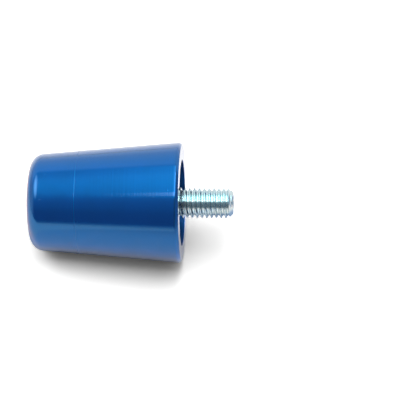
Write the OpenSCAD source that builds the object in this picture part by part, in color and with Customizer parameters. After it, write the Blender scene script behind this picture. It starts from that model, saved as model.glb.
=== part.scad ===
// Bar end weight for a motorcycle handlebar: a tapered, turned aluminium weight
// with a socket head cap screw through it.
// The recess in the big end slides over the end of the handlebar tube, and the
// screw clamps the weight to a nut or plug inside the tube.
// The axis lies along +X, the origin is at the middle of the rim, the nose points
// to -X and the thread to +X.

/* [Turned body] */
// Length of the body, from the flat of the nose to the rim
body_l = 39.4; // [34:0.1:60]
// Outer diameter at the rim, where the body meets the grip
rim_d = 31.5; // [28:0.1:40]
// Diameter that the taper reaches at the flat of the nose, without its rounding
nose_d = 24.8; // [21:0.1:28]
// Radius that blends the taper into the flat of the nose
nose_round = 3.5; // [0.5:0.1:4]
// How deep the bevel on the outer edge of the rim goes, on the radius
rim_break = 0.5; // [0.1:0.05:1]
// How far that bevel reaches back along the taper
rim_break_l = 0.9; // [0.1:0.05:2]
// Break on the inner edges: recess mouth, counterbore mouth
edge_break = 0.1; // [0.05:0.05:0.4]

/* [Recess for the handlebar] */
// Outer diameter of the handlebar tube
bar_d = 22.2; // [19:0.1:25.4]
// Play between the tube and the recess, on the diameter
bar_play = 0.1; // [0.05:0.05:0.5]
// How far the tube goes in
recess_depth = 15.5; // [8:0.5:18]
// Radius that the turning tool leaves in the corner of the recess
recess_round = 0.8; // [0.1:0.1:2]

/* [Screw] */
// Nominal diameter, which is also the plain shank's
screw_d = 8; // [5:1:10]
// How much smaller the crests of the thread are, on the diameter
thread_play = 0.1; // [0.02:0.01:0.2]
// Length of the thread, from the tip
thread_l = 28; // [20:1:40]
// Diameter of the relief groove that the thread runs out into
relief_d = 6.4; // [4:0.1:7]
// Width of the relief groove
relief_w = 2; // [0.5:0.1:3]
// How far the tip stands out past the rim
stud_reach = 13.3; // [5:0.1:30]
// Diameter of the head
head_d = 13; // [11:0.1:14]
// Height of the head
head_h = 8; // [4:0.1:10]
// Rounding round the top edge of the head
head_round = 0.8; // [0.1:0.1:1.2]
// Radius of the fillet under the head
neck_round = 0.4; // [0.1:0.05:0.6]
// Width across the flats of the hexagon socket
key_w = 6; // [4:1:8]
// Depth of the flats of the socket
key_depth = 4; // [2:0.1:5]
// Bevel at the tip of the thread
tip_break = 1.1; // [0.3:0.1:1.5]

/* [Fit of the screw in the body] */
// How far the top of the head lies below the flat of the nose
head_sink = 1.4; // [0.2:0.1:3]
// Gap all round between the head and the counterbore
head_gap = 1; // [0.25:0.05:1]
// Gap all round between the shank and the hole
shank_gap = 0.5; // [0.15:0.05:0.6]
// Break at both ends of the hole
hole_break = 0.4; // [0.1:0.05:0.5]

/* [Hidden] */
$fn = 180;

rim_r = rim_d / 2;
nose_r = nose_d / 2;
recess_r = (bar_d + bar_play) / 2;
shank_r = screw_d / 2;
relief_r = min(relief_d, screw_d - thread_play) / 2;
thread_r = (screw_d - thread_play) / 2;
hole_r = shank_r + shank_gap;
bore_r = head_d / 2 + head_gap;
bore_depth = head_h + head_sink;

// Places along the axis
nose_x = -body_l;
seat_x = nose_x + bore_depth;
floor_x = -recess_depth;
tip_x = stud_reach;
thread_x = max(tip_x - thread_l, seat_x + neck_round + relief_w);

// The taper leans by this angle from the axis
taper = atan2(rim_r - nose_r, body_l);
// The rounding takes no more than this share of the wall round the counterbore
nose_wall_share = 0.9;
blend_r = min(nose_round, nose_wall_share * (nose_r - bore_r - edge_break));
// Centre of the circle that touches both the taper and the flat of the nose
blend_x = nose_x + blend_r;
blend_y = rim_r + blend_x * tan(taper) - blend_r / cos(taper);

// The key's hexagon, corner to corner, and the drilled cone under it
key_r = key_w / 2 / cos(30);
key_cone = key_w / 2 * tan(30);
// The hexagon's mouth is bevelled to this share of its width
key_mouth_share = 0.06;
key_break = key_w * key_mouth_share;

// Every cut runs past the face it opens by this much
over = 1;

// Turns a profile, given as [place along the axis, radius], about the axis
module turned() {
    rotate([0, 90, 0])
        rotate_extrude()
            mirror([1, -1])
                children();
}

// A plain length of round bar or bore, from x1 to x2
module run(x1, x2, r) {
    translate([x1, 0]) square([x2 - x1, r]);
}

// The bevelled mouth of a hole of radius r, opening at x towards dir
module mouth(x, r, bevel, dir) {
    polygon([
        [x - dir * bevel, 0],
        [x + dir * over, 0],
        [x + dir * over, r + bevel + over],
        [x - dir * bevel, r]
    ]);
}

// Outside of the body: a taper, a bevelled rim edge and a round blended nose
module body_outline() {
    polygon([
        [nose_x, 0],
        [0, 0],
        [0, rim_r - rim_break],
        [-rim_break_l, rim_r - rim_break_l * tan(taper)],
        [blend_x - blend_r * sin(taper), blend_y + blend_r * cos(taper)],
        [nose_x, blend_y]
    ]);
    translate([blend_x, blend_y]) circle(r = blend_r);
}

// Recess for the tube, with the tool's round left in its corner
module recess_outline() {
    run(floor_x, over, recess_r - recess_round);
    run(floor_x + recess_round, over, recess_r);
    translate([floor_x + recess_round, recess_r - recess_round])
        circle(r = recess_round);
    mouth(0, recess_r, edge_break, 1);
}

// Stepped hole for the screw: counterbore, seat and clearance hole
module screw_hole_outline() {
    run(nose_x - over, seat_x, bore_r);
    mouth(nose_x, bore_r, edge_break, -1);
    run(seat_x - over, floor_x + over, hole_r);
    mouth(seat_x, hole_r, hole_break, -1);
    mouth(floor_x, hole_r, hole_break, 1);
}

module weight_body() {
    color("#1c66b4")
        turned()
            difference() {
                body_outline();
                recess_outline();
                screw_hole_outline();
            }
}

// Screw without its socket: head, neck fillet, shank, relief groove, and the
// thread as a plain length with a bevelled tip
module screw_outline() {
    head_x = seat_x - head_h;
    head_r = head_d / 2;
    run(head_x, seat_x, head_r - head_round);
    run(head_x + head_round, seat_x, head_r);
    translate([head_x + head_round, head_r - head_round]) circle(r = head_round);
    difference() {
        run(seat_x, seat_x + neck_round, shank_r + neck_round);
        translate([seat_x + neck_round, shank_r + neck_round]) circle(r = neck_round);
    }
    polygon([
        [seat_x, 0],
        [tip_x, 0],
        [tip_x, thread_r - tip_break],
        [tip_x - tip_break, thread_r],
        [thread_x, thread_r],
        [thread_x, relief_r],
        [thread_x - relief_w, relief_r],
        [thread_x - relief_w, shank_r],
        [seat_x, shank_r]
    ]);
}

// Hexagon socket in the head, with a bevelled mouth and a drilled bottom
module key_socket() {
    translate([seat_x - head_h, 0, 0])
        rotate([0, 90, 0]) {
            translate([0, 0, -over]) cylinder(r = key_r, h = key_depth + over, $fn = 6);
            translate([0, 0, key_depth]) cylinder(r1 = key_w / 2, r2 = 0, h = key_cone);
            cylinder(r1 = key_r + key_break / 2, r2 = key_r - key_break / 2, h = key_break);
        }
}

module cap_screw() {
    color("#b9c0c4")
        difference() {
            turned() screw_outline();
            key_socket();
        }
}

weight_body();
cap_screw();
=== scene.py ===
import math

import bmesh
import bpy
from mathutils import Matrix, Vector


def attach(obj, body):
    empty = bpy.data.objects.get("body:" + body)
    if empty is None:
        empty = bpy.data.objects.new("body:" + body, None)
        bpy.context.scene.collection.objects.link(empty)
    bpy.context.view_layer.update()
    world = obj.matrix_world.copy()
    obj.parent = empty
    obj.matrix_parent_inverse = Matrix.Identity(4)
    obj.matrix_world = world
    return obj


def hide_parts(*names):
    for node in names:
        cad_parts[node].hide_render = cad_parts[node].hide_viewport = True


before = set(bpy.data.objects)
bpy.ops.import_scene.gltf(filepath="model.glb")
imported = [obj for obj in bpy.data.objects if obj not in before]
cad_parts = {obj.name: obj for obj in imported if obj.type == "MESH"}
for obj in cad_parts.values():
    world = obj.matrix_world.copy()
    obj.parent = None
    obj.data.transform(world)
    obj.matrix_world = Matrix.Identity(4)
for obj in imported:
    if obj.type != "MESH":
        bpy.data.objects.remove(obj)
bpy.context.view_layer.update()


# Turned body
# The weight itself: a tapered bar of aluminium alloy, turned all over, polished
# on a mop and dyed blue when it is anodised. The recess in its big end slides
# over the end of the handlebar tube.
MM = 0.001
BODY_L = 39.4 * MM
RIM_R = 15.75 * MM
NOSE_R = 12.4 * MM  # where the taper would meet the flat of the nose
RECESS_R = 11.15 * MM
RECESS_DEPTH = 15.5 * MM
BORE_R = 7.5 * MM
BORE_DEPTH = 9.4 * MM
HOLE_R = 4.5 * MM
NOSE_ROUND = 3.5 * MM
RECESS_ROUND = 0.8 * MM
RIM_BREAK = 0.5 * MM
RIM_BREAK_L = 0.7 * MM  # along the axis
RIM_SOFTEN = 0.16 * MM
EDGE_BREAK = 0.1 * MM
HOLE_BREAK = 0.4 * MM
TAPER = math.atan((RIM_R - NOSE_R) / BODY_L)
SEAT_X = -BODY_L + BORE_DEPTH
BODY_STEPS = 256
FLAT = math.cos(math.pi / BODY_STEPS)  # how near the axis a ring's flats lie, against its corners
SIDE_RINGS = 24
SMOOTH_TO = math.radians(35)
NEAR = 0.004 * MM
MERGE = 0.0005 * MM


def put_away():
    """Back to object mode with nothing selected, ready for the next piece."""
    if bpy.context.mode != "OBJECT":
        bpy.ops.object.mode_set(mode="OBJECT")
    bpy.ops.object.select_all(action="DESELECT")


def take(piece):
    """Only this piece is selected and active."""
    put_away()
    piece.select_set(True)
    bpy.context.view_layer.objects.active = piece
    return piece


def started(name):
    """Names the primitive that was just added and opens it for editing."""
    piece = take(bpy.context.object)
    piece.name = name
    piece.data.name = name
    bpy.ops.object.transform_apply()
    bpy.ops.object.mode_set(mode="EDIT")
    return piece


def pick(piece, kind, fits):
    """In edit mode, selects only the verts, edges or faces of which every corner fits."""
    modes = [kind == each for each in ("verts", "edges", "faces")]
    bpy.context.tool_settings.mesh_select_mode = modes
    bpy.ops.mesh.select_all(action="DESELECT")
    mesh = bmesh.from_edit_mesh(piece.data)
    for part in getattr(mesh, kind):
        corners = [part] if kind == "verts" else part.verts
        if all(fits(corner.co) for corner in corners):
            part.select_set(True)
    mesh.select_flush_mode()
    bmesh.update_edit_mesh(piece.data)


def radius(co):
    """How far a point lies from the axis."""
    return math.hypot(co.y, co.z)


def at_x(x):
    """A test for points in the plane at x."""
    return lambda co: abs(co.x - x) < NEAR


def on_ring(x, r):
    """A test for points on the ring of that radius at x."""
    return lambda co: abs(co.x - x) < NEAR and abs(radius(co) - r) < NEAR


def pick_disc(piece, *places):
    """Selects the flat discs that close the bar or the holes at these places (x, radius)."""
    rings = [on_ring(x, r) for x, r in places]
    pick(piece, "faces", lambda co: any(ring(co) for ring in rings))


def step_in(piece, x, r, new_r, new_x):
    """Turns the disc at x down, or bores it out, to the radius new_r as far as new_x."""
    pick_disc(piece, (x, r))
    bpy.ops.mesh.inset(thickness=(r - new_r) * FLAT)
    bpy.ops.mesh.extrude_region_move(TRANSFORM_OT_translate={"value": (new_x - x, 0, 0)})


def round_edge(piece, x, r, size, segments, turn=math.pi / 2):
    """Rounds the edge ring at x to a radius, where the surface turns by that angle."""
    pick(piece, "edges", on_ring(x, r))
    bpy.ops.mesh.bevel(offset=size * math.tan(turn / 2), segments=segments, profile=0.5)


def break_edge(piece, x, r, size):
    """Breaks the edge ring at x with a small, slightly round bevel, as deburring leaves it."""
    pick(piece, "edges", on_ring(x, r))
    bpy.ops.mesh.bevel(offset=size, segments=2, profile=0.6)


def cut_rings(piece, places, fits):
    """Cuts rings round the part of the surface that fits, so that its shading stays true."""
    for x in places:
        pick(piece, "faces", fits)
        bpy.ops.mesh.bisect(plane_co=(x, 0, 0), plane_no=(1, 0, 0), threshold=MERGE)


def done(piece):
    """Ends the edit: doubles merged, faces outwards, shading that follows the large faces."""
    bpy.ops.object.mode_set(mode="EDIT")
    bpy.ops.mesh.select_all(action="SELECT")
    bpy.ops.mesh.remove_doubles(threshold=MERGE)
    bpy.ops.mesh.normals_make_consistent(inside=False)
    take(piece)
    bpy.ops.object.shade_smooth_by_angle(angle=SMOOTH_TO)
    weighted = piece.modifiers.new("weighted", "WEIGHTED_NORMAL")
    weighted.keep_sharp = True
    bpy.ops.object.modifier_apply(modifier=weighted.name)


put_away()
bpy.ops.mesh.primitive_cone_add(
    vertices=BODY_STEPS, radius1=RIM_R, radius2=NOSE_R, depth=BODY_L, end_fill_type="NGON",
    location=(-BODY_L / 2, 0, 0), rotation=(0, -math.pi / 2, 0))
body = started("turned_body")
step_in(body, 0, RIM_R, RECESS_R, -RECESS_DEPTH)
step_in(body, -BODY_L, NOSE_R, BORE_R, SEAT_X)
# The clearance hole joins the floor of the recess to the seat of the head.
for x, r in ((-RECESS_DEPTH, RECESS_R), (SEAT_X, BORE_R)):
    pick_disc(body, (x, r))
    bpy.ops.mesh.inset(thickness=(r - HOLE_R) * FLAT)
pick_disc(body, (-RECESS_DEPTH, HOLE_R), (SEAT_X, HOLE_R))
bpy.ops.mesh.bridge_edge_loops()
round_edge(body, -BODY_L, NOSE_R, NOSE_ROUND, segments=20, turn=math.pi / 2 - TAPER)
round_edge(body, -RECESS_DEPTH, RECESS_R, RECESS_ROUND, segments=6)
# The rim's bevel: a ring behind the edge, and the edge itself drawn in.
cut_rings(body, [-RIM_BREAK_L], lambda co: radius(co) > RECESS_R + NEAR)
pick(body, "verts", on_ring(0, RIM_R))
rim_scale = 1 - RIM_BREAK / RIM_R
bpy.ops.transform.resize(value=(1, rim_scale, rim_scale), center_override=(0, 0, 0))
break_edge(body, -RIM_BREAK_L, RIM_R - RIM_BREAK_L * math.tan(TAPER), RIM_SOFTEN)
break_edge(body, 0, RIM_R - RIM_BREAK, RIM_SOFTEN / 4)
break_edge(body, 0, RECESS_R, EDGE_BREAK)
break_edge(body, -BODY_L, BORE_R, EDGE_BREAK)
break_edge(body, SEAT_X, HOLE_R, HOLE_BREAK)
break_edge(body, -RECESS_DEPTH, HOLE_R, HOLE_BREAK)
side_from = -BODY_L + NOSE_ROUND
side_step = (-RIM_BREAK_L - side_from) / SIDE_RINGS
cut_rings(
    body, [side_from + (i + 0.5) * side_step for i in range(SIDE_RINGS)],
    lambda co: radius(co) > RECESS_R + EDGE_BREAK + NEAR and co.x < -RIM_BREAK_L + NEAR)
done(body)


def linear(code):
    """A hex sRGB colour as the linear RGBA that the shader wants."""
    parts = [int(code[i:i + 2], 16) / 255 for i in (1, 3, 5)]
    return [p / 12.92 if p <= 0.04045 else ((p + 0.055) / 1.055) ** 2.4 for p in parts] + [1]


def node(tree, kind, settings=None, stops=(), **inputs):
    """Adds a node with its settings, a ramp's stops (place, colour), and its inputs' values or links.

    An input goes by its name, or by _ and its number where several have one name.
    """
    new = tree.nodes.new(kind)
    for name, value in (settings or {}).items():
        setattr(new, name, value)
    for i, (place, colour) in enumerate(stops):
        elements = new.color_ramp.elements
        stop = elements[i] if i < 2 else elements.new(place)
        stop.position = place
        stop.color = (*colour, 1)
    for name, value in inputs.items():
        if name[1:].isdigit():
            socket = new.inputs[int(name[1:])]
        else:
            socket = new.inputs[name.replace("_", " ")]
        if isinstance(value, bpy.types.NodeSocket):
            tree.links.new(value, socket)
        else:
            socket.default_value = value
    return new


def new_material(name):
    """An empty material with no nodes, and its tree."""
    material = bpy.data.materials.new(name)
    material.use_nodes = True
    tree = material.node_tree
    tree.nodes.clear()
    return material, tree


# Blue anodised aluminium, polished before it was dyed: a metal under a thin clear
# oxide, so its reflections are blue and sharp and go pale only at a low angle. The
# mop leaves faint rings of the turning, one deeper, duller ring and a few specks.
RING_PITCH = 0.6 * MM  # the tool's feed is half of this, too fine to show
RING_DEPTH = 0.008 * MM
SCORE_X = -26.7 * MM
SCORE_W = 0.12 * MM  # to either side of its middle
SCORE_DEPTH = 0.008 * MM
SCORE_DULL = 0.3  # added to the roughness
SPECK_SPACING = 4 * MM
SPECK_R = 0.25 * MM
SPECK_HEIGHT = 0.03 * MM
CLOUD_SIZE = 6 * MM
blue, tree = new_material("polished_blue_anodised_aluminium")
spot = node(tree, "ShaderNodeTexCoord")
along = node(tree, "ShaderNodeSeparateXYZ", _0=spot.outputs["Object"])
turns = node(tree, "ShaderNodeMath", {"operation": "DIVIDE"}, _0=along.outputs["X"], _1=RING_PITCH)
rings = node(
    tree, "ShaderNodeTexNoise", {"noise_dimensions": "1D"}, W=turns.outputs[0],
    Scale=1.0, Detail=3.0, Roughness=0.6)
ring_height = node(tree, "ShaderNodeMath", {"operation": "MULTIPLY"}, _0=rings.outputs[0], _1=RING_DEPTH)
off_score = node(tree, "ShaderNodeMath", {"operation": "SUBTRACT"}, _0=along.outputs["X"], _1=SCORE_X)
score_side = node(tree, "ShaderNodeMath", {"operation": "ABSOLUTE"}, _0=off_score.outputs[0])
score = node(
    tree, "ShaderNodeMapRange", Value=score_side.outputs[0],
    From_Max=SCORE_W, To_Min=-SCORE_DEPTH, To_Max=0.0)
specks = node(tree, "ShaderNodeTexVoronoi", Vector=spot.outputs["Object"], Scale=1 / SPECK_SPACING)
speck = node(
    tree, "ShaderNodeMapRange", Value=specks.outputs["Distance"],
    From_Max=SPECK_R / SPECK_SPACING, To_Min=SPECK_HEIGHT, To_Max=0.0)
marks = node(tree, "ShaderNodeMath", {"operation": "ADD"}, _0=ring_height.outputs[0], _1=score.outputs[0])
height = node(tree, "ShaderNodeMath", {"operation": "ADD"}, _0=marks.outputs[0], _1=speck.outputs[0])
relief = node(tree, "ShaderNodeBump", Height=height.outputs[0], Distance=1.0)
clouds = node(
    tree, "ShaderNodeTexNoise", Vector=spot.outputs["Object"], Scale=1 / CLOUD_SIZE, Detail=3.0)
haze = node(tree, "ShaderNodeMapRange", Value=clouds.outputs[0], To_Min=0.09, To_Max=0.19)
score_dull = node(
    tree, "ShaderNodeMapRange", Value=score_side.outputs[0],
    From_Max=SCORE_W, To_Min=SCORE_DULL, To_Max=0.0)
dull = node(tree, "ShaderNodeMath", {"operation": "ADD"}, _0=haze.outputs[0], _1=score_dull.outputs[0])
dye = node(
    tree, "ShaderNodeMix", {"data_type": "RGBA"}, _0=clouds.outputs[0],
    _6=linear("#0063A8"), _7=linear("#0268B7"))
shader = node(
    tree, "ShaderNodeBsdfPrincipled", Base_Color=dye.outputs[2], Metallic=1.0, Roughness=dull.outputs[0],
    Coat_Weight=1.0, Coat_IOR=1.38, Coat_Roughness=0.04,
    Normal=relief.outputs[0], Coat_Normal=relief.outputs[0])
node(tree, "ShaderNodeOutputMaterial", Surface=shader.outputs[0])

# The recess is dyed with the rest but left as it was turned, so it is satin: the
# feed marks spread what little light falls in.
satin, tree = new_material("satin_turned_blue_anodised_aluminium")
spot = node(tree, "ShaderNodeTexCoord")
along = node(tree, "ShaderNodeSeparateXYZ", _0=spot.outputs["Object"])
turns = node(tree, "ShaderNodeMath", {"operation": "DIVIDE"}, _0=along.outputs["X"], _1=RING_PITCH)
rings = node(
    tree, "ShaderNodeTexNoise", {"noise_dimensions": "1D"}, W=turns.outputs[0],
    Scale=1.0, Detail=2.0, Roughness=0.6)
relief = node(tree, "ShaderNodeBump", Height=rings.outputs[0], Distance=2 * RING_DEPTH)
dull = node(tree, "ShaderNodeMapRange", Value=rings.outputs[0], To_Min=0.36, To_Max=0.48)
shader = node(
    tree, "ShaderNodeBsdfPrincipled", Base_Color=linear("#12559A"), Metallic=1.0,
    Roughness=dull.outputs[0], Coat_Weight=1.0, Coat_IOR=1.36, Coat_Roughness=0.2,
    Normal=relief.outputs[0])
node(tree, "ShaderNodeOutputMaterial", Surface=shader.outputs[0])

body.data.materials.clear()
body.data.materials.append(blue)
body.data.materials.append(satin)
take(body)
bpy.ops.object.mode_set(mode="EDIT")
pick(body, "faces", lambda co: radius(co) < RECESS_R + NEAR and co.x > -RECESS_DEPTH - NEAR)
body.active_material_index = 1
bpy.ops.object.material_slot_assign()
put_away()
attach(body, "root")
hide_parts("weight_body")


# Cap screw
# The M8 x 1.25 socket head cap screw that goes through the body: cold-headed
# steel with a knurled head, its thread rolled on, all of it bright zinc plated.
HEAD_R = 6.5 * MM
HEAD_H = 8 * MM
HEAD_ROUND = 0.8 * MM
NECK_ROUND = 0.4 * MM
SHANK_R = 4 * MM
RELIEF_R = 3.2 * MM
RELIEF_W = 2 * MM
THREAD_X = -14.7 * MM
TIP_X = 13.3 * MM
TIP_BREAK = 1.1 * MM
HOLLOW_R = 2.3 * MM
HOLLOW_DEPTH = 0.4 * MM
PITCH = 1.25 * MM
CREST_R = 3.95 * MM
ROOT_R = 3.235 * MM
CREST_W = PITCH / 8
THREAD_H = CREST_R - ROOT_R
FLANK_W = THREAD_H * math.tan(math.radians(30))
ROOT_W = PITCH - CREST_W - 2 * FLANK_W
THREAD_SHIFT = 0.05 * MM  # along the axis, so that the crests show where the real ones do
THREAD_STEPS = 72
KEY_W = 6 * MM
KEY_R = KEY_W / 2 / math.cos(math.pi / 6)
KEY_DEPTH = 4 * MM
KEY_BREAK = 0.36 * MM
KEY_DRILL_R = 2.9 * MM  # just inside the flats, so that the drill's cone leaves a ledge
KEY_DRILL_L = KEY_DRILL_R * math.tan(math.pi / 6)
KNURLS = 60
KNURL_DEPTH = 0.25 * MM
KNURL_FROM = 1.3 * MM
KNURL_TO = 7.4 * MM
COLUMN_PLAY = 0.1  # of a groove's pitch; the columns of points stand a quarter of it apart
CUTTER_STEPS = 96
OVER = 1 * MM  # every cutter runs this much past the face that it opens
HEAD_X = SEAT_X - HEAD_H

put_away()
bpy.ops.mesh.primitive_cylinder_add(
    vertices=4 * KNURLS, radius=HEAD_R, depth=HEAD_H, end_fill_type="NGON",
    location=(HEAD_X + HEAD_H / 2, 0, 0), rotation=(0, math.pi / 2, 0))
screw = started("socket_head_cap_screw")
step_in(screw, SEAT_X, HEAD_R, SHANK_R, THREAD_X - RELIEF_W)
step_in(screw, THREAD_X - RELIEF_W, SHANK_R, RELIEF_R, THREAD_X + OVER)
round_edge(screw, HEAD_X, HEAD_R, HEAD_ROUND, segments=6)
round_edge(screw, SEAT_X, SHANK_R, NECK_ROUND, segments=4)
knurl_ends = (KNURL_FROM, KNURL_FROM + KNURL_DEPTH, KNURL_TO - KNURL_DEPTH, KNURL_TO)
cut_rings(
    screw, [HEAD_X + x for x in knurl_ends],
    lambda co: abs(radius(co) - HEAD_R) < NEAR and co.x > HEAD_X + HEAD_ROUND - NEAR)


def in_groove(co):
    """The columns of points that the knurling tool presses in, one in four round the head."""
    column = math.atan2(co.y, co.z) / (2 * math.pi) * KNURLS
    along = co.x - HEAD_X
    return (abs(radius(co) - HEAD_R) < NEAR and abs(column - round(column)) < COLUMN_PLAY
            and KNURL_FROM + NEAR < along < KNURL_TO - NEAR)


pick(screw, "verts", in_groove)
knurl_scale = 1 - KNURL_DEPTH / HEAD_R
bpy.ops.transform.resize(value=(1, knurl_scale, knurl_scale), center_override=(0, 0, 0))
take(screw)


def cut(piece, tool, operation):
    """Joins, cuts or trims the piece with a tool solid, which is then gone."""
    take(piece)
    work = piece.modifiers.new("work", "BOOLEAN")
    work.operation = operation
    work.object = tool
    work.solver = "EXACT"
    bpy.ops.object.modifier_apply(modifier=work.name)
    bpy.data.objects.remove(tool)


# The key's socket: the hexagon, its bevelled mouth and the drilled bottom.
put_away()
bpy.ops.mesh.primitive_cylinder_add(
    vertices=6, radius=KEY_R, depth=KEY_DEPTH + OVER,
    location=(HEAD_X + (KEY_DEPTH - OVER) / 2, 0, 0), rotation=(0, math.pi / 2, 0))
cut(screw, bpy.context.object, "DIFFERENCE")
bpy.ops.mesh.primitive_cone_add(
    vertices=CUTTER_STEPS, radius1=KEY_DRILL_R, radius2=0, depth=KEY_DRILL_L,
    location=(HEAD_X + KEY_DEPTH + KEY_DRILL_L / 2, 0, 0), rotation=(0, math.pi / 2, 0))
cut(screw, bpy.context.object, "DIFFERENCE")
bpy.ops.mesh.primitive_cone_add(
    vertices=CUTTER_STEPS, radius1=KEY_R + KEY_BREAK / 2 + OVER, radius2=KEY_R - KEY_BREAK / 2,
    depth=KEY_BREAK + OVER,
    location=(HEAD_X + (KEY_BREAK - OVER) / 2, 0, 0), rotation=(0, math.pi / 2, 0))
cut(screw, bpy.context.object, "DIFFERENCE")

# The thread: one tooth, wound round the axis, then cut to length and bevelled.
LEAD_IN = 2  # turns that are wound before the thread starts, and cut off again
TURNS = math.ceil((TIP_X - THREAD_X) / PITCH) + LEAD_IN + 1
put_away()
bpy.ops.mesh.primitive_plane_add(
    size=PITCH, location=(THREAD_X - LEAD_IN * PITCH + THREAD_SHIFT, 0, ROOT_R))
thread = started("rolled_thread")
bpy.ops.mesh.merge(type="CENTER")
tooth = ((ROOT_W / 2, 0), (FLANK_W, THREAD_H), (CREST_W, 0), (FLANK_W, -THREAD_H), (ROOT_W / 2, 0))
for along, out in tooth:
    bpy.ops.mesh.extrude_region_move(TRANSFORM_OT_translate={"value": (along, 0, out)})
take(thread)
wind = thread.modifiers.new("wind", "SCREW")
wind.axis = "X"
wind.screw_offset = PITCH
wind.iterations = TURNS
wind.steps = wind.render_steps = THREAD_STEPS
bpy.ops.object.modifier_apply(modifier=wind.name)
bpy.ops.object.mode_set(mode="EDIT")
bpy.ops.mesh.select_all(action="SELECT")
bpy.ops.mesh.remove_doubles(threshold=MERGE)
for x, way in ((THREAD_X, -1), (TIP_X, 1)):
    bpy.ops.mesh.select_all(action="SELECT")
    bpy.ops.mesh.bisect(
        plane_co=(x, 0, 0), plane_no=(way, 0, 0), use_fill=True, clear_outer=True, threshold=MERGE)
bpy.ops.mesh.select_all(action="SELECT")
bpy.ops.mesh.normals_make_consistent(inside=False)
put_away()
bpy.ops.mesh.primitive_cylinder_add(
    vertices=2 * THREAD_STEPS, radius=CREST_R + OVER, depth=TIP_X - THREAD_X + OVER,
    location=((TIP_X + THREAD_X - OVER) / 2, 0, 0), rotation=(0, math.pi / 2, 0))
blank = started("thread_blank")
pick(blank, "edges", at_x(TIP_X))
bpy.ops.mesh.bevel(offset=TIP_BREAK + OVER, segments=1)
put_away()
cut(thread, blank, "INTERSECT")
cut(screw, thread, "UNION")

# Rolling leaves a shallow hollow in the end of the thread.
bpy.ops.mesh.primitive_cone_add(
    vertices=CUTTER_STEPS, radius1=HOLLOW_R + OVER, radius2=HOLLOW_R - HOLLOW_DEPTH,
    depth=HOLLOW_DEPTH + OVER,
    location=(TIP_X + (OVER - HOLLOW_DEPTH) / 2, 0, 0), rotation=(0, -math.pi / 2, 0))
cut(screw, bpy.context.object, "DIFFERENCE")
done(screw)

# Bright zinc plate over steel: a pale metal that its passivation leaves with a
# cold blue cast, and a plate too thin to hide the marks of the rolling dies.
GRAIN_SIZE = 0.35 * MM  # the plate's own grain is finer than the render shows
GRAIN_DEPTH = 0.006 * MM
TINT_SIZE = 2 * MM
zinc, tree = new_material("bright_zinc_plated_steel")
spot = node(tree, "ShaderNodeTexCoord")
grain = node(
    tree, "ShaderNodeTexNoise", Vector=spot.outputs["Object"], Scale=1 / GRAIN_SIZE, Detail=2.0)
relief = node(tree, "ShaderNodeBump", Height=grain.outputs[0], Distance=GRAIN_DEPTH)
dull = node(tree, "ShaderNodeMapRange", Value=grain.outputs[0], To_Min=0.1, To_Max=0.26)
cast = node(
    tree, "ShaderNodeTexNoise", Vector=spot.outputs["Object"], Scale=1 / TINT_SIZE, Detail=2.0)
tint = node(
    tree, "ShaderNodeMix", {"data_type": "RGBA"}, _0=cast.outputs[0],
    _6=linear("#D4E8EC"), _7=linear("#DBEAEE"))
shader = node(
    tree, "ShaderNodeBsdfPrincipled", Base_Color=tint.outputs[2], Metallic=1.0,
    Roughness=dull.outputs[0], Normal=relief.outputs[0])
node(tree, "ShaderNodeOutputMaterial", Surface=shader.outputs[0])
screw.data.materials.clear()
screw.data.materials.append(zinc)
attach(screw, "root")
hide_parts("cap_screw")


# Table
# The weight lies on its side on a smooth white table. It touches along its
# taper, so in this frame, which is that of the handlebar, the table is tilted.
TABLE_SIZE = 3
TABLE_GAP = 0.02 * MM  # keeps the flat table clear of the round body


def shares(stops, low, high):
    """The stops of a ramp, with their places as shares of the way from low to high."""
    return [((place - low) / (high - low), colour) for place, colour in stops]


put_away()
bpy.ops.mesh.primitive_plane_add(
    size=TABLE_SIZE, location=(0, 0, -RIM_R - TABLE_GAP), rotation=(0, TAPER, 0))
table = bpy.context.object
table.name = "white_table"
bpy.ops.object.transform_apply()

# Smooth white laminate, matt enough to mirror nothing. To the camera it is white and
# keeps the shadow. What the weight mirrors of it has light and shade painted into its
# colour: painted shade far in front, a painted shadow under the weight, a painted warm
# light past the nose and a painted bright patch beside the rim, where the rim's flat
# face sees it. The places of its tones are in mm from the axis, to the front and the back.
TABLE_WHITE = (1.67, 1.67, 1.67, 1)
TABLE_FRONT = -160
TABLE_BACK = 40
# Painted shade in what the weight mirrors: a dark band for the shadow under the weight, and the table
# dimmer far in front.
PAINTED_TABLE_SHADE_TONES = (
    (-140, (0.86, 0.66, 0.63)), (-30, (1.10, 0.90, 0.82)), (-13, (1.00, 0.93, 0.91)),
    (-7, (0.38, 0.48, 0.68)), (6, (0.38, 0.48, 0.68)), (14, (0.96, 0.96, 0.96)))
# Painted light in what the rim mirrors: a brighter patch of the table beside the rim.
PAINTED_RIM_LIGHT_TONES = (
    (-6, (0.95, 0.97, 1.05)), (0, (1.1, 1.12, 1.25)), (5, (1.5, 1.52, 1.7)), (12, (1.5, 1.52, 1.7)),
    (19, (1.35, 1.37, 1.5)), (25, (1.1, 1.1, 1.15)), (30, (1.0, 1.0, 1.02)))
RIM_LIGHT_MIDDLE = 2.5  # mm along the axis, and from there the patch fades between these two
RIM_LIGHT_FULL = 3
RIM_LIGHT_END = 5
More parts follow.
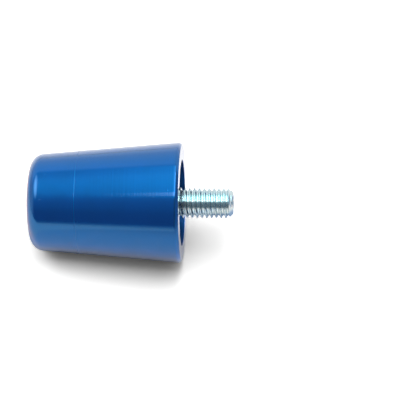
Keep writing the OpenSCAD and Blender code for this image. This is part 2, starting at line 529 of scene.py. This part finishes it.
# Painted warm light in what the nose mirrors: the table past the nose is tinted warm.
PAINTED_WARM_LIGHT_TONES = ((20, (1.35, 0.97, 0.80)), (36, (1.0, 0.97, 0.93)))
WARM_LIGHT_START = -45  # mm along the axis, to where it is full
WARM_LIGHT_FULL = -52
white, tree = new_material("white_laminate_with_painted_light_and_shade")
spot = node(tree, "ShaderNodeTexCoord")
in_mm = node(
    tree, "ShaderNodeVectorMath", {"operation": "SCALE"}, _0=spot.outputs["Object"], Scale=1 / MM)
place = node(tree, "ShaderNodeSeparateXYZ", _0=in_mm.outputs[0])
depth = node(
    tree, "ShaderNodeMapRange", Value=place.outputs["Y"], From_Min=TABLE_FRONT, From_Max=TABLE_BACK)
lit, painted_rim_light, painted_warm_light = [
    node(
        tree, "ShaderNodeValToRGB", stops=shares(tones, TABLE_FRONT, TABLE_BACK), _0=depth.outputs[0])
    for tones in (PAINTED_TABLE_SHADE_TONES, PAINTED_RIM_LIGHT_TONES, PAINTED_WARM_LIGHT_TONES)]
off = node(
    tree, "ShaderNodeMath", {"operation": "SUBTRACT"}, _0=place.outputs["X"], _1=RIM_LIGHT_MIDDLE)
far = node(tree, "ShaderNodeMath", {"operation": "ABSOLUTE"}, _0=off.outputs[0])
beside = node(
    tree, "ShaderNodeMapRange", Value=far.outputs[0], From_Min=RIM_LIGHT_END, From_Max=RIM_LIGHT_FULL)
with_painted_rim_light = node(
    tree, "ShaderNodeMix", {"data_type": "RGBA"}, _0=beside.outputs[0],
    _6=lit.outputs[0], _7=painted_rim_light.outputs[0])
past = node(
    tree, "ShaderNodeMapRange", Value=place.outputs["X"], From_Min=WARM_LIGHT_START, From_Max=WARM_LIGHT_FULL)
mirrored = node(
    tree, "ShaderNodeMix", {"data_type": "RGBA"}, _0=past.outputs[0],
    _6=with_painted_rim_light.outputs[2], _7=painted_warm_light.outputs[0])
rays = node(tree, "ShaderNodeLightPath")
tone = node(
    tree, "ShaderNodeMix", {"data_type": "RGBA"}, _0=rays.outputs["Is Camera Ray"],
    _6=mirrored.outputs[2], _7=TABLE_WHITE)
shader = node(tree, "ShaderNodeBsdfDiffuse", Color=tone.outputs[2])
node(tree, "ShaderNodeOutputMaterial", Surface=shader.outputs[0])
table.data.materials.append(white)


# Studio light
# A white room that is dark behind the camera, with softboxes overhead and up on the
# left, so the light comes from above and the shadow falls towards the camera. Only
# what is mirrored has their colours; the table is lit without any.
scene = bpy.context.scene
scene.cycles.caustics_reflective = False  # or the body would throw blue light on the table
room = bpy.data.worlds.new("studio")
scene.world = room
room.use_nodes = True
tree = room.node_tree
tree.nodes.clear()
# The room's light by the height of the direction about the axis: level towards the
# camera is 0 degrees, straight up is 90 and level to the back is 180.
ROOM_LIGHT = (
    (-180, (1.00, 1.02, 0.98)), (-170, (0.66, 0.66, 0.66)), (2.6, (0.66, 0.66, 0.66)),
    (4.4, (0.15, 0.21, 0.34)), (30, (0.15, 0.25, 0.38)), (42, (0.17, 0.33, 0.48)),
    (50, (0.19, 0.36, 0.52)), (58, (0.20, 0.43, 0.60)), (66, (0.22, 0.56, 0.71)),
    (74, (0.26, 0.75, 0.88)), (90, (0.28, 0.88, 1.00)), (106, (0.34, 0.90, 1.03)),
    (116, (0.30, 0.78, 0.95)), (126, (0.28, 0.74, 0.92)), (129, (0.42, 0.86, 1.04)),
    (133, (0.82, 1.04, 1.16)), (154, (0.84, 0.98, 1.03)), (166, (0.83, 0.90, 0.94)),
    (180, (1.00, 1.02, 0.98)))
LEFT_WALL = (0.95, 0.73, 0.71, 1)
RIGHT_WALL = (0.30, 0.36, 0.46, 1)
GREY_POWER = 1.3  # deepens the room's greys on the thread's side
FILL_LOW = 0.3  # how much of the room's light reaches the table from level
FILL_RISE = 1.05  # and how much more from straight above
way = node(tree, "ShaderNodeTexCoord")
parts = node(tree, "ShaderNodeSeparateXYZ", _0=way.outputs["Generated"])
front = node(tree, "ShaderNodeMath", {"operation": "MULTIPLY"}, _0=parts.outputs["Y"], _1=-1.0)
rise = node(tree, "ShaderNodeMath", {"operation": "ARCTAN2"}, _0=parts.outputs["Z"], _1=front.outputs[0])
angle = node(tree, "ShaderNodeMath", {"operation": "DEGREES"}, _0=rise.outputs[0])
turn = node(tree, "ShaderNodeMapRange", Value=angle.outputs[0], From_Min=-180, From_Max=180)
lit = node(
    tree, "ShaderNodeValToRGB", stops=shares(ROOM_LIGHT, -180, 180), _0=turn.outputs[0]).outputs[0]
level = node(tree, "ShaderNodeRGBToBW", _0=lit)
grey = node(tree, "ShaderNodeMath", {"operation": "POWER"}, _0=level.outputs[0], _1=GREY_POWER)
# The light is grey on the thread's side, and each end has a wall of its own. Each comes
# in between two cosines of the angle off its own direction.
for tone, towards, start, full in (
        (grey.outputs[0], (1, 0, 0), -0.20, -0.04),
        (LEFT_WALL, (-1, 0, 0), 0.70, 0.95),
        (RIGHT_WALL, (0.94, -0.34, 0), 0.45, 0.75)):
    turned = node(
        tree, "ShaderNodeVectorMath", {"operation": "DOT_PRODUCT"},
        _0=way.outputs["Generated"], _1=towards)
    share = node(
        tree, "ShaderNodeMapRange", {"interpolation_type": "SMOOTHSTEP"},
        Value=turned.outputs["Value"], From_Min=start, From_Max=full)
    mixed = node(
        tree, "ShaderNodeMix", {"data_type": "RGBA"}, _0=share.outputs[0], _6=lit, _7=tone)
    lit = mixed.outputs[2]
rays = node(tree, "ShaderNodeLightPath")
level = node(tree, "ShaderNodeRGBToBW", _0=lit)
height = node(
    tree, "ShaderNodeMath", {"operation": "MULTIPLY_ADD"},
    _0=parts.outputs["Z"], _1=FILL_RISE, _2=FILL_LOW)
plain = node(
    tree, "ShaderNodeMath", {"operation": "MULTIPLY"}, _0=level.outputs[0], _1=height.outputs[0])
mirrored = node(
    tree, "ShaderNodeMix", {"data_type": "RGBA"}, _0=rays.outputs["Is Glossy Ray"],
    _6=plain.outputs[0], _7=lit)
seen = node(
    tree, "ShaderNodeMix", {"data_type": "RGBA"}, _0=rays.outputs["Is Camera Ray"],
    _6=mirrored.outputs[2], _7=(1, 1, 1, 1))
light = node(tree, "ShaderNodeBackground", Color=seen.outputs[2], Strength=1.0)
node(tree, "ShaderNodeOutputWorld", Surface=light.outputs[0])

# Lit cloths that face the weight: name, place and size in m, radiance, tint for what
# mirrors them, and how much darker than their middle they are at their sides and ends.
SOFTBOXES = (
    ("overhead_softbox", (0.09, 0.045, 0.6), (0.38, 0.75), 0.8, (1, 1, 1), (0.8, 0)),
    ("overhead_core", (0.08, 0.0, 0.6), (0.20, 0.46), 2.4, (1, 1, 1), (0.5, 0)),
    ("overhead_edge", (-0.03, 0.045, 0.6), (0.33, 0.75), 0.66, (0.1, 1, 1), (1.0, 0)),
    ("left_softbox", (-0.42, 0.04, 0.56), (0.38, 0.76), 2.8, (1.37, 0.63, 0.4), (1.0, 1.0)),
    ("front_strip", (-0.09, -0.243, 0.6), (0.18, 0.075), 3.4, (1.2, 0.5, 0.36), (1.0, 0)),
    ("low_reflector", (0.17, -0.6, 0.035), (0.36, 0.15), 0.45, (1, 1, 1), (0, 0)))
put_away()
for name, place, size, radiance, tint, fade in SOFTBOXES:
    bpy.ops.mesh.primitive_plane_add(size=1)
    cloth = bpy.context.object
    cloth.name = name
    cloth.data.transform(Matrix.Diagonal((*size, 1, 1)))
    away = Vector(place).normalized()
    up = (Vector((0, 1, 0)) - away * away.y).normalized()
    facing = Matrix((up.cross(away), up, away)).transposed().to_4x4()
    cloth.matrix_world = Matrix.Translation(place) @ facing
    cloth.visible_camera = False
    # Its light falls off with the square of the distance from its middle.
    material, tree = new_material(name)
    spot = node(tree, "ShaderNodeTexCoord")
    reach = [2 * math.sqrt(part) / length for part, length in zip(fade, size)]
    out = node(
        tree, "ShaderNodeVectorMath", {"operation": "MULTIPLY"},
        _0=spot.outputs["Object"], _1=(*reach, 0))
    lost = node(
        tree, "ShaderNodeVectorMath", {"operation": "DOT_PRODUCT"}, _0=out.outputs[0], _1=out.outputs[0])
    left = node(
        tree, "ShaderNodeMath", {"operation": "SUBTRACT", "use_clamp": True},
        _0=1.0, _1=lost.outputs["Value"])
    level = node(
        tree, "ShaderNodeMath", {"operation": "MULTIPLY"}, _0=left.outputs[0], _1=radiance)
    rays = node(tree, "ShaderNodeLightPath")
    colour = node(
        tree, "ShaderNodeMix", {"data_type": "RGBA"}, _0=rays.outputs["Is Glossy Ray"],
        _6=(1, 1, 1, 1), _7=(*tint, 1))
    light = node(tree, "ShaderNodeEmission", Color=colour.outputs[2], Strength=level.outputs[0])
    clear = node(tree, "ShaderNodeBsdfTransparent")
    both = node(tree, "ShaderNodeAddShader", _0=light.outputs[0], _1=clear.outputs[0])
    node(tree, "ShaderNodeOutputMaterial", Surface=both.outputs[0])
    cloth.data.materials.append(material)


# Camera
# A short telephoto, looking down on the weight from the front.
LOOK_AT = (3.3 * MM, 13.62 * MM, -16.03 * MM)
DISTANCE = 545.5 * MM
TURN = math.radians(5.79)
RISE = math.radians(51.46)
ROLL = math.radians(-4.34)
SENSOR_W = 36  # this and the lens are in mm, as Blender wants them
LENS = 181.75
facing = Matrix.Rotation(TURN, 4, "Z")
facing @= Matrix.Rotation(math.pi / 2 - RISE, 4, "X")
facing @= Matrix.Rotation(ROLL, 4, "Z")
bpy.ops.object.camera_add()
camera = bpy.context.object
camera.matrix_world = Matrix.Translation(LOOK_AT) @ facing @ Matrix.Translation((0, 0, DISTANCE))
camera.data.sensor_width = SENSOR_W
camera.data.lens = LENS
camera.data.clip_start = 10 * MM
scene.camera = camera
scene.view_settings.view_transform = "Standard"
